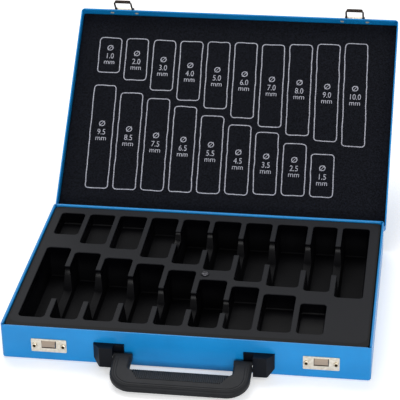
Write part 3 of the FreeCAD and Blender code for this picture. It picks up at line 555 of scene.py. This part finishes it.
# %% The outline tree
def outline_tree():
    """A rounded outline of ink; its size, corner, line and waviness are inputs."""
    corner_points, point_spacing, wave_size = 6, mm(2.0), mm(13)
    tree = bpy.data.node_groups.new("printed_outline", "GeometryNodeTree")
    tree.interface.new_socket("Geometry", in_out="OUTPUT", socket_type="NodeSocketGeometry")
    for name in ("Width", "Height", "Corner", "Line", "Ink", "Waviness", "Shift"):
        tree.interface.new_socket(name, in_out="INPUT", socket_type="NodeSocketFloat")
    given = tree.nodes.new("NodeGroupInput").outputs
    frame_curve = add_node(tree, "GeometryNodeCurvePrimitiveQuadrilateral", {}, {
        "Width": given["Width"], "Height": given["Height"]})
    rounded = add_node(tree, "GeometryNodeFilletCurve", {"mode": "POLY"}, {
        "Curve": frame_curve.outputs["Curve"], "Count": corner_points, "Radius": given["Corner"]})
    steps = add_node(tree, "GeometryNodeResampleCurve", {"mode": "LENGTH"}, {
        "Curve": rounded.outputs["Curve"], "Length": point_spacing})
    where = add_node(tree, "GeometryNodeInputPosition")
    shifted = add_node(tree, "ShaderNodeVectorMath", {"operation": "ADD"}, {
        0: where.outputs["Position"], 1: given["Shift"]})
    drift = add_node(tree, "ShaderNodeTexNoise", {}, {
        "Vector": shifted.outputs["Vector"], "Scale": 1 / wave_size, "Detail": 1.0})
    centred = add_node(tree, "ShaderNodeVectorMath", {"operation": "SUBTRACT"}, {
        0: drift.outputs["Color"], 1: (0.5, 0.5, 0.5)})
    flat = add_node(tree, "ShaderNodeVectorMath", {"operation": "MULTIPLY"}, {
        0: centred.outputs["Vector"], 1: (1.0, 1.0, 0.0)})
    offset = add_node(tree, "ShaderNodeVectorMath", {"operation": "SCALE"}, {
        0: flat.outputs["Vector"], "Scale": given["Waviness"]})
    wavy = add_node(tree, "GeometryNodeSetPosition", {}, {
        "Geometry": steps.outputs["Curve"], "Offset": offset.outputs["Vector"]})
    ribbon = add_node(tree, "GeometryNodeCurvePrimitiveQuadrilateral", {}, {
        "Width": given["Line"], "Height": given["Ink"]})
    swept = add_node(tree, "GeometryNodeCurveToMesh", {}, {
        "Curve": wavy.outputs["Geometry"], "Profile Curve": ribbon.outputs["Curve"],
        "Fill Caps": True})
    real = add_node(tree, "GeometryNodeRealizeInstances", {}, {
        "Geometry": swept.outputs["Mesh"]})
    inked = add_node(tree, "GeometryNodeSetMaterial", {}, {
        "Geometry": real.outputs["Geometry"], "Material": white_ink})
    out = tree.nodes.new("NodeGroupOutput")
    tree.links.new(inked.outputs["Geometry"], out.inputs["Geometry"])
    return tree


printed_outline = outline_tree()
print("outline tree:", len(printed_outline.nodes), "nodes")


# %% Run a tree
def grown_mesh(tree, values):
    """Run a geometry tree once with the given inputs and return a plain mesh."""
    sockets = {s.name: s.identifier for s in tree.interface.items_tree if s.in_out == "INPUT"}

    def grow(host):
        modifier = host.modifiers.new("grow", "NODES")
        modifier.node_group = tree
        for name, value in values.items():
            modifier[sockets[name]] = value

    empty = bpy.data.meshes.new(tree.name)
    result = plain_mesh(empty, grow)
    bpy.data.meshes.remove(empty)
    return result


print("inputs of a tree can be set by name")

# %% [markdown]
# ## Where the print goes
#
# The outlines stand in two rows of even pitch.  Their heights follow the standard drill lengths.
# The far row hangs from a line near the lid's free edge and the near row stands on a line near
# the hinge.  The screen was laid on a little askew, so the columns lean.  Every label has three
# lines, the diameter sign, the size and the unit, in a plain sans serif.  Lengths in the two
# tables are in millimetres on the flat sheet.

# %% The print's layout
column_pitch = mm(31.3)
outline_width = mm(25.3)
outline_corner = mm(3.6)
line_width = mm(1.05)
ink_height = mm(0.1)
waviness = mm(1.6)
column_lean = 0.03
far_row = {
    "sizes": ["1.0", "2.0", "3.0", "4.0", "5.0", "6.0", "7.0", "8.0", "9.0", "10.0"],
    "left": -155.0, "edges": [93, 93, 92.5, 92.5, 93, 93.5, 92.5, 94, 96, 98],
    "heights": [43.8, 51.9, 62.6, 73.5, 82.6, 93, 101.5, 111.5, 119, 126],
    "label_heights": [80, 74.2, 67.9, 62.1, 58, 54, 49, 46.5, 43, 42]}
near_row = {
    "sizes": ["9.5", "8.5", "7.5", "6.5", "5.5", "4.5", "3.5", "2.5", "1.5"],
    "left": -156.5, "edges": [-92.5, -92.5, -92, -92, -92, -91.5, -90, -89.5, -89.5],
    "heights": [125.4, 117.4, 111.4, 102.9, 93, 83, 74, 61.5, 50.5],
    "label_heights": [-14.6, -20, -26.2, -29.6, -34.2, -41.8, -45, -47.4, -55.8]}
print("outlines:", len(far_row["sizes"]) + len(near_row["sizes"]))


# %% Lean and lettering
def text_mesh(words, height, narrow):
    """A short word as a thin closed mesh, centred on its own origin."""
    curve = bpy.data.curves.new("label", "FONT")
    curve.body = words
    curve.align_x = "CENTER"
    curve.align_y = "CENTER"
    curve.size = height
    curve.extrude = ink_height / 2
    curve.resolution_u = 3
    mesh = plain_mesh(curve)
    mesh.transform(Matrix.Diagonal((narrow, 1, 1, 1)))
    bpy.data.curves.remove(curve)
    return mesh


def lean_shift(y):
    """How far the leaning columns move sideways at a height on the sheet."""
    return -column_lean * y


print("a column leans by", round(lean_shift(mm(-100)) * 1000, 1), "mm in 100 mm")

# %% Print the outlines and the labels
# Each line of a label: its words (None is the size), drop below the first line, height, width.
label_lines = [("Ø", 0.0, mm(9.6), 1.0), (None, mm(-10.2), mm(9.6), 0.84),
               ("mm", mm(-17.6), mm(8.4), 1.0)]
shear = Matrix.Identity(4)
shear[0][1] = -column_lean
print_mesh = bmesh.new()
for row, hangs in ((far_row, True), (near_row, False)):
    for n, size in enumerate(row["sizes"]):
        x = mm(row["left"]) + n * column_pitch + outline_width / 2
        tall = mm(row["heights"][n])
        edge = mm(row["edges"][n])
        y = edge - tall / 2 if hangs else edge + tall / 2
        outline = grown_mesh(printed_outline, {
            "Width": outline_width, "Height": tall, "Corner": outline_corner,
            "Line": line_width, "Ink": ink_height, "Waviness": waviness, "Shift": x + y})
        place = Matrix.Translation((x + lean_shift(y), y, 0)) @ shear
        add_to(print_mesh, outline, place)
        for words, drop, height, narrow in label_lines:
            line_y = mm(row["label_heights"][n]) + drop
            label = text_mesh(words or size, height, narrow)
            add_to(print_mesh, label, Matrix.Translation((x + lean_shift(line_y), line_y, 0)))
foam_print = place_piece("foam_print", mesh_from(print_mesh, "foam_print"), from_sheet,
                         white_ink, "lid")
print("print faces:", len(foam_print.data.polygons))

# %% [markdown]
# ## One seamless tray with soft edges
#
# The tray is one sheet of plastic, but the frame holds it as blocks and floor plates that meet
# face to face.  The hidden faces between them are taken out while every triangle is still loose,
# so that no two merge by accident.  Then the seams are closed: where a corner of one block lies
# on the edge of the next, that edge is split there, and the points are welded.  Flat areas become
# single faces, and a Bevel modifier rounds every edge sharper than a limit, because a real edge
# always catches a thin line of light.  Weighted normals keep the flats flat.


# %% Take out the faces between blocks
def covers(face, point, axis):
    """Whether a flat triangle covers a point, seen along one axis."""
    u, v = [n for n in range(3) if n != axis]
    corners = [(vert.co[u] - point[u], vert.co[v] - point[v]) for vert in face.verts]
    turns = [a[0] * b[1] - a[1] * b[0] for a, b in zip(corners, corners[1:] + corners[:1])]
    slack = mm(0.05) ** 2
    return min(turns) >= -slack or max(turns) <= slack


def hidden_faces(mesh):
    """Level or upright faces that lie against another face turned the other way."""
    square_on, same_plane = 0.9999, mm(0.01)
    planes = {}
    for face in mesh.faces:
        axis = max(range(3), key=lambda n: abs(face.normal[n]))
        if abs(face.normal[axis]) > square_on:
            height = round(face.calc_center_median()[axis] / same_plane)
            planes.setdefault((axis, height), []).append(face)
    hidden = []
    for (axis, _), faces in planes.items():
        for one in faces:
            centre = one.calc_center_median()
            if any(other.normal[axis] * one.normal[axis] < 0 and covers(other, centre, axis)
                   for other in faces):
                hidden.append(one)
    return hidden


tray_mesh = bmesh.new()
tray_mesh.from_mesh(frame["nodes"]["tray_insert"].data)
between = hidden_faces(tray_mesh)
bmesh.ops.delete(tray_mesh, geom=between, context="FACES")
print("faces between blocks:", len(between))


# %% Close the seams
def close_seams(mesh, touch):
    """Split every open edge where another block's corner touches it, then weld."""
    open_edges = [e for e in mesh.edges if len(e.link_faces) == 1]
    corners = {v for e in open_edges for v in e.verts}
    for edge in open_edges:
        start, end = edge.verts
        along = end.co - start.co
        shares = []
        for corner in corners - {start, end}:
            share = (corner.co - start.co).dot(along) / along.length_squared
            on_line = (start.co + along * share - corner.co).length < touch
            if on_line and touch < share * along.length < along.length - touch:
                shares.append(share)
        place, done = start, 0.0
        for share in sorted(shares):
            rest = mesh.edges.get((place, end))
            place = bmesh.utils.edge_split(rest, place, (share - done) / (1 - done))[1]
            done = share
    bmesh.ops.remove_doubles(mesh, verts=mesh.verts, dist=touch)


seam_touch = mm(0.003)
bmesh.ops.remove_doubles(tray_mesh, verts=tray_mesh.verts, dist=weld_distance)
close_seams(tray_mesh, seam_touch)
print("open edges left:", sum(1 for e in tray_mesh.edges if len(e.link_faces) != 2))


# %% Round the edges
def seen_from_above(edge):
    """Whether an outward edge lies between two faces that do not look down."""
    level = -0.03
    return edge.is_convex and min(face.normal.z for face in edge.link_faces) > level


def soft_edges(mesh, name, radius, sharp_degrees, choose, segments=3):
    """A plain mesh from a bmesh: flats joined, chosen edges rounded, normals weighted."""
    flat_within, flat_weight = math.radians(0.6), 60
    bmesh.ops.dissolve_limit(mesh, angle_limit=flat_within, verts=mesh.verts,
                             edges=mesh.edges)
    weight = mesh.edges.layers.float.new("bevel_weight_edge")
    for edge in mesh.edges:
        sharp = math.degrees(edge.calc_face_angle(0.0)) > sharp_degrees
        edge[weight] = 1.0 if sharp and choose(edge) else 0.0
    data = mesh_from(mesh, name)
    data.shade_smooth()

    def soften(host):
        bevel = host.modifiers.new("edge", "BEVEL")
        bevel.width = radius
        bevel.segments = segments
        bevel.limit_method = "WEIGHT"
        bevel.use_clamp_overlap = False
        host.modifiers.new("flats", "WEIGHTED_NORMAL").weight = flat_weight

    result = plain_mesh(data, soften)
    bpy.data.meshes.remove(data)
    return result


sharp_limit, tray_edge = 35, mm(0.7)
tray_data = soft_edges(tray_mesh, "tray_sheet", tray_edge, sharp_limit, seen_from_above)
tray = place_piece("tray_sheet", tray_data, Matrix.Identity(4), tray_sheet, "base", smooth=True)
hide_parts("tray_insert")
print("tray faces:", len(tray.data.polygons))

# %% [markdown]
# ## Rounded draw loops
#
# Each draw loop is pressed from one strip, and a press tool leaves round corners at its foot and
# a soft edge all round.  The frame's loop has square corners.  A copy of it is cut with a prism
# whose outline has those round corners, and then its edges are softened like the tray's.  The
# prism lies in the loop's own plane: from the pin towards the foot, and out of the strip.


# %% Cut and soften the draw loops
def common_part(data, cutter_data):
    """What two closed meshes have in common, as a bmesh; both meshes are used up."""
    cutter = bpy.data.objects.new("cutter", cutter_data)
    bpy.context.scene.collection.objects.link(cutter)

    def intersect(host):
        cut = host.modifiers.new("outline", "BOOLEAN")
        cut.operation = "INTERSECT"
        cut.solver = "EXACT"
        cut.object = cutter

    result = plain_mesh(data, intersect)
    mesh = welded(result)
    bpy.data.objects.remove(cutter)
    for used in (data, cutter_data, result):
        bpy.data.meshes.remove(used)
    return mesh


loop_corner, loop_edge, loop_clearance = mm(4.6), mm(0.22), mm(0.05)
past_pin, loop_depth = mm(6), mm(9)
for hand in ("left", "right"):
    node_name = "clasp_loop_" + hand
    joint = joint_named("clasp_pivot_" + hand)
    stand = math.radians(lid_joint["range_deg"][1] - joint["range_deg"][0])
    turn = Matrix.Rotation(-stand, 3, "X")
    towards_foot, outward = turn @ Vector((0, 0, -1)), turn @ Vector((0, -1, 0))
    pin = Vector(joint["pos_m"])
    loop_data = mesh_from(welded(frame["nodes"][node_name].data), node_name)
    foot = max((v.co - pin).dot(towards_foot) for v in loop_data.vertices)
    half = max(abs(v.co.x - pin.x) for v in loop_data.vertices)
    prism_mesh = bmesh.new()
    add_slab(prism_mesh, rounded_u(half + loop_clearance, -past_pin, foot + loop_clearance,
                                   loop_corner, steps=6), -loop_depth, loop_depth)
    prism = mesh_from(prism_mesh, "prism")
    to_loop = Matrix((Vector((1, 0, 0)), towards_foot, outward)).transposed().to_4x4()
    to_loop.translation = pin
    prism.transform(to_loop)
    if to_loop.determinant() < 0:
        prism.flip_normals()
    loop_mesh = common_part(loop_data, prism)
    soft = soft_edges(loop_mesh, node_name, loop_edge, sharp_limit, lambda e: e.is_convex, 2)
    loop = place_piece("draw_loop_" + hand, soft, Matrix.Identity(4), loop_steel, node_name,
                       smooth=True)
    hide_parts(node_name)
    print(loop.name, "faces:", len(loop.data.polygons))

# %% [markdown]
# ## The ribbed grip
#
# The fingers close round a bevel on the grip's inner side, which is moulded with short rounded
# ribs so that it does not slip.  The bevel is the one large level face of the handle, so its
# corners are read off the handle's mesh.  Equal ribs in a row are a job for Geometry Nodes: a
# line of points, a small cylinder on each point, and a length that runs out towards both ends,
# where the bevel narrows.


# %% The rib tree
def rib_tree(material):
    """A row of half-sunk round ribs along X that start at Y = 0."""
    tree = bpy.data.node_groups.new("grip_ribs", "GeometryNodeTree")
    tree.interface.new_socket("Geometry", in_out="OUTPUT", socket_type="NodeSocketGeometry")
    tree.interface.new_socket("Ribs", in_out="INPUT", socket_type="NodeSocketInt")
    for name in ("Pitch", "Rib Width", "Rib Height", "Depth", "Half Length", "Run Out"):
        tree.interface.new_socket(name, in_out="INPUT", socket_type="NodeSocketFloat")
    given = tree.nodes.new("NodeGroupInput").outputs
    first = add_node(tree, "ShaderNodeMath", {"operation": "SUBTRACT"}, {
        0: given["Pitch"], 1: given["Half Length"]})
    start = add_node(tree, "ShaderNodeCombineXYZ", {}, {"X": first.outputs["Value"]})
    step = add_node(tree, "ShaderNodeCombineXYZ", {}, {"X": given["Pitch"]})
    row = add_node(tree, "GeometryNodeMeshLine", {}, {
        "Count": given["Ribs"], "Start Location": start.outputs["Vector"],
        "Offset": step.outputs["Vector"]})
    bar = add_node(tree, "GeometryNodeMeshCylinder", {}, {
        "Vertices": 10, "Radius": 0.5, "Depth": 1.0})
    laid = add_node(tree, "GeometryNodeTransform", {}, {
        "Geometry": bar.outputs["Mesh"], "Translation": (0.0, 0.5, 0.0),
        "Rotation": (math.pi / 2, 0.0, 0.0)})
    where = add_node(tree, "GeometryNodeInputPosition")
    parts = add_node(tree, "ShaderNodeSeparateXYZ", {}, {"Vector": where.outputs["Position"]})
    from_middle = add_node(tree, "ShaderNodeMath", {"operation": "ABSOLUTE"}, {
        0: parts.outputs["X"]})
    full_until = add_node(tree, "ShaderNodeMath", {"operation": "SUBTRACT"}, {
        0: given["Half Length"], 1: given["Run Out"]})
    long = add_node(tree, "ShaderNodeMapRange", {}, {
        "Value": from_middle.outputs["Value"], "From Min": full_until.outputs["Value"],
        "From Max": given["Half Length"], "To Min": given["Depth"], "To Max": 0.0})
    size = add_node(tree, "ShaderNodeCombineXYZ", {}, {
        "X": given["Rib Width"], "Y": long.outputs["Result"], "Z": given["Rib Height"]})
    ribs = add_node(tree, "GeometryNodeInstanceOnPoints", {}, {
        "Points": row.outputs["Mesh"], "Instance": laid.outputs["Geometry"],
        "Scale": size.outputs["Vector"]})
    real = add_node(tree, "GeometryNodeRealizeInstances", {}, {
        "Geometry": ribs.outputs["Instances"]})
    finished = add_node(tree, "GeometryNodeSetMaterial", {}, {
        "Geometry": real.outputs["Geometry"], "Material": material})
    out = tree.nodes.new("NodeGroupOutput")
    tree.links.new(finished.outputs["Geometry"], out.inputs["Geometry"])
    return tree


# The ribs and the thin band under them are painted blacker than the handle: painted shade on the
# grip's shaded inner edge.
grip_shade_plastic, tree, shader, place = new_finish(
    "ribbed_plastic_painted_shade", grain_mm=0.5, bump_mm=0.01, Roughness=0.35,
    Specular_IOR_Level=0.18)
mottle(tree, shader, place, "#08090b", "#040506", patch_mm=5)
ribbed_grip = rib_tree(grip_shade_plastic)
print("rib tree:", len(ribbed_grip.nodes), "nodes")


# %% Fit the ribs to the bevel
def broad_faces(data, low, high):
    """The large faces of a mesh whose normals point up by a share between two limits."""
    least_side = mm(8)
    return [f for f in data.polygons
            if f.area > least_side ** 2 and low < f.normal.z <= high]


handle_data = frame["nodes"]["handle"].data
nearly_level, tilted = 0.995, 0.9
bevel = [handle_data.vertices[i].co for f in broad_faces(handle_data, nearly_level, 1.0)
         for i in f.vertices]
inner_y = max(p.y for p in bevel)
outer_y = min(p.y for p in bevel)
same_line = mm(0.3)
inner_end = max((p for p in bevel if p.y > inner_y - same_line), key=lambda p: p.x)
outer_end = max((p for p in bevel if p.y < outer_y + same_line), key=lambda p: p.x)
down_slope = Vector((0, outer_end.y - inner_end.y, outer_end.z - inner_end.z))
band_depth = down_slope.length
down_slope.normalize()
away = Vector((-1, 0, 0)).cross(down_slope)
to_bevel = Matrix((Vector((-1, 0, 0)), down_slope, away)).transposed().to_4x4()
to_bevel.translation = (0, inner_end.y, inner_end.z)
rib_count, rib_size = 48, mm(1.1)
band_bottom, band_top = mm(-0.05), mm(0.06)
ribs_data = grown_mesh(ribbed_grip, {
    "Ribs": rib_count, "Pitch": 2 * inner_end.x / (rib_count + 1), "Rib Width": rib_size,
    "Rib Height": rib_size, "Depth": band_depth, "Half Length": inner_end.x,
    "Run Out": inner_end.x - outer_end.x})
grip_mesh = bmesh.new()
plan = [(-inner_end.x, 0), (inner_end.x, 0), (outer_end.x, band_depth), (-outer_end.x, band_depth)]
add_slab(grip_mesh, plan, band_bottom, band_top)
add_to(grip_mesh, ribs_data, Matrix.Identity(4))
grip_ribs = place_piece("grip_ribs", mesh_from(grip_mesh, "grip_ribs"), to_bevel, grip_shade_plastic,
                        "handle")
print("ribs:", rib_count, "on a band", round(band_depth * 1000, 1), "mm deep")

# %% [markdown]
# ## Two beads round the handle
#
# Two thin raised lines run along the top of the handle beside its outer edge, down one arm,
# across the grip and up the other arm.  Each is a curve with a round section, half sunk in the
# plastic.  The handle hangs a little below level, so its own two directions are worked out from
# its top face: `along` points from the pivot to the grip, and `upward` out of the top.


# %% Beads
pivot = Vector(joint_named("handle_pivot")["pos_m"])
top_face = max(broad_faces(handle_data, tilted, nearly_level), key=lambda f: f.area)
upward = top_face.normal.copy()
along = upward.cross(Vector((-1, 0, 0))).normalized()
top_height = (handle_data.vertices[top_face.vertices[0]].co - pivot).dot(upward)
reach = max((v.co - pivot).dot(along) for v in handle_data.vertices)
half_width = max(v.co.x for v in handle_data.vertices)
bead_start, bead_corner, bead_radius = mm(6), mm(22), mm(0.35)
bead_insets = (mm(3.8), mm(6.2))
for n, inset in enumerate(bead_insets):
    line = bpy.data.curves.new("bead", "CURVE")
    line.dimensions = "3D"
    line.bevel_depth = bead_radius
    line.bevel_resolution = 2
    line.use_fill_caps = True
    spline = line.splines.new("POLY")
    route = rounded_u(half_width, bead_start, reach, bead_corner, steps=8, inset=inset)
    spline.points.add(len(route) - 1)
    for point, (across, out_along) in zip(spline.points, route):
        spot = pivot + along * out_along + upward * top_height
        point.co = (across, spot.y, spot.z, 1)
    bead = place_piece("handle_bead_%d" % (n + 1), plain_mesh(line), Matrix.Identity(4),
                       handle_plastic, "handle", smooth=True)
print("handle reach:", round(reach * 1000, 1), "mm, half width:", round(half_width * 1000, 1))

# %% [markdown]
# ## Floor and light
#
# A white floor lies under the case.  A broad softbox above and behind it, a second one in front and
# a weak third one from the right light it.  The floor is plain diffuse white, so it takes the
# case's shadow.  For the camera and in reflections it also glows a little, so that it reads as
# pure white where it is fully lit.  The sky shows as white in the same way.

# %% The floor
def white_rays(tree):
    """1 for a ray from the camera, a reflection or a transparent surface, otherwise 0."""
    rays = add_node(tree, "ShaderNodeLightPath")
    mirrored = add_node(tree, "ShaderNodeMath", {"operation": "MAXIMUM"}, {
        0: rays.outputs["Is Glossy Ray"], 1: rays.outputs["Is Transmission Ray"]})
    white = add_node(tree, "ShaderNodeMath", {"operation": "MAXIMUM"}, {
        0: rays.outputs["Is Camera Ray"], 1: mirrored.outputs["Value"]})
    return white.outputs["Value"]


half_floor, floor_drop, floor_glow = 6.0, mm(0.3), 0.42
floor_mesh = bpy.data.meshes.new("floor")
floor_mesh.from_pydata([(x * half_floor, y * half_floor, 0)
                        for x, y in ((-1, -1), (1, -1), (1, 1), (-1, 1))], [], [(0, 1, 2, 3)])
floor = bpy.data.objects.new("floor", floor_mesh)
floor.location.z = -floor_drop
bpy.context.scene.collection.objects.link(floor)
floor_paint = bpy.data.materials.new("white_floor")
floor_paint.use_nodes = True
floor_tree = floor_paint.node_tree
floor_tree.nodes.remove(floor_tree.nodes["Principled BSDF"])
matt = add_node(floor_tree, "ShaderNodeBsdfDiffuse", {}, {"Color": (0.9, 0.9, 0.9, 1)})
glow = add_node(floor_tree, "ShaderNodeEmission", {}, {
    "Color": (1, 1, 1, 1), "Strength": floor_glow})
both = add_node(floor_tree, "ShaderNodeAddShader", {}, {0: matt.outputs[0], 1: glow.outputs[0]})
choose = add_node(floor_tree, "ShaderNodeMixShader", {}, {
    0: white_rays(floor_tree), 1: matt.outputs[0], 2: both.outputs[0]})
floor_tree.links.new(choose.outputs[0], floor_tree.nodes["Material Output"].inputs["Surface"])
floor_mesh.materials.append(floor_paint)
print("floor half width in metres:", half_floor)

# %% The world
sky_level = 0.35
world = bpy.data.worlds.new("studio")
bpy.context.scene.world = world
world.use_nodes = True
sky = world.node_tree
background = sky.nodes["Background"]
background.inputs["Color"].default_value = (1, 1, 1, 1)
level = add_node(sky, "ShaderNodeMapRange", {}, {
    "Value": white_rays(sky), "To Min": sky_level, "To Max": 1.0})
sky.links.new(level.outputs["Result"], background.inputs["Strength"])
print("the sky lights the case at", sky_level, "and shows as white")


# %% Lights
def softbox(name, centre, target, width, height, watts):
    """An area light that faces a target."""
    light = bpy.data.lights.new(name, "AREA")
    light.shape = "RECTANGLE"
    light.size = width
    light.size_y = height
    light.energy = watts
    lamp = bpy.data.objects.new(name, light)
    lamp.location = centre
    lamp.rotation_euler = (Vector(target) - Vector(centre)).to_track_quat("-Z", "Y").to_euler()
    bpy.context.scene.collection.objects.link(lamp)


case_middle = (0, 0, mm(20))
softbox("softbox_above_back", (-0.35, 0.75, 1.5), case_middle, 1.2, 0.9, 14)
softbox("softbox_front", (0.15, -1.8, 0.55), case_middle, 1.4, 0.5, 16)
softbox("softbox_right", (1.5, -0.6, 1.0), case_middle, 0.9, 0.9, 5)

# %% [markdown]
# ## Camera
#
# A long lens from in front, a little to the right and well above, as a catalogue shows such a
# case.  The camera's place and its three turns come from the corners of the case.

# %% Camera
sensor_width = 36.0
image_pixels = 400
focal_pixels = 1691.6
camera_place = (0.22251, -1.45995, 0.92973)
heading, dip, tilt = (math.radians(a) for a in (8.657, 28.748, 1.145))
lens = bpy.data.cameras.new("camera")
lens.sensor_width = sensor_width
lens.lens = focal_pixels / image_pixels * sensor_width
lens.clip_end = 20
camera = bpy.data.objects.new("camera", lens)
camera.matrix_world = (
    Matrix.Translation(camera_place)
    @ Matrix.Rotation(heading, 4, "Z")
    @ Matrix.Rotation(math.pi / 2 - dip, 4, "X")
    @ Matrix.Rotation(-tilt, 4, "Z"))
bpy.context.scene.collection.objects.link(camera)
bpy.context.scene.camera = camera
bpy.context.scene.view_settings.view_transform = "Standard"
print("lens in mm:", round(lens.lens, 1))
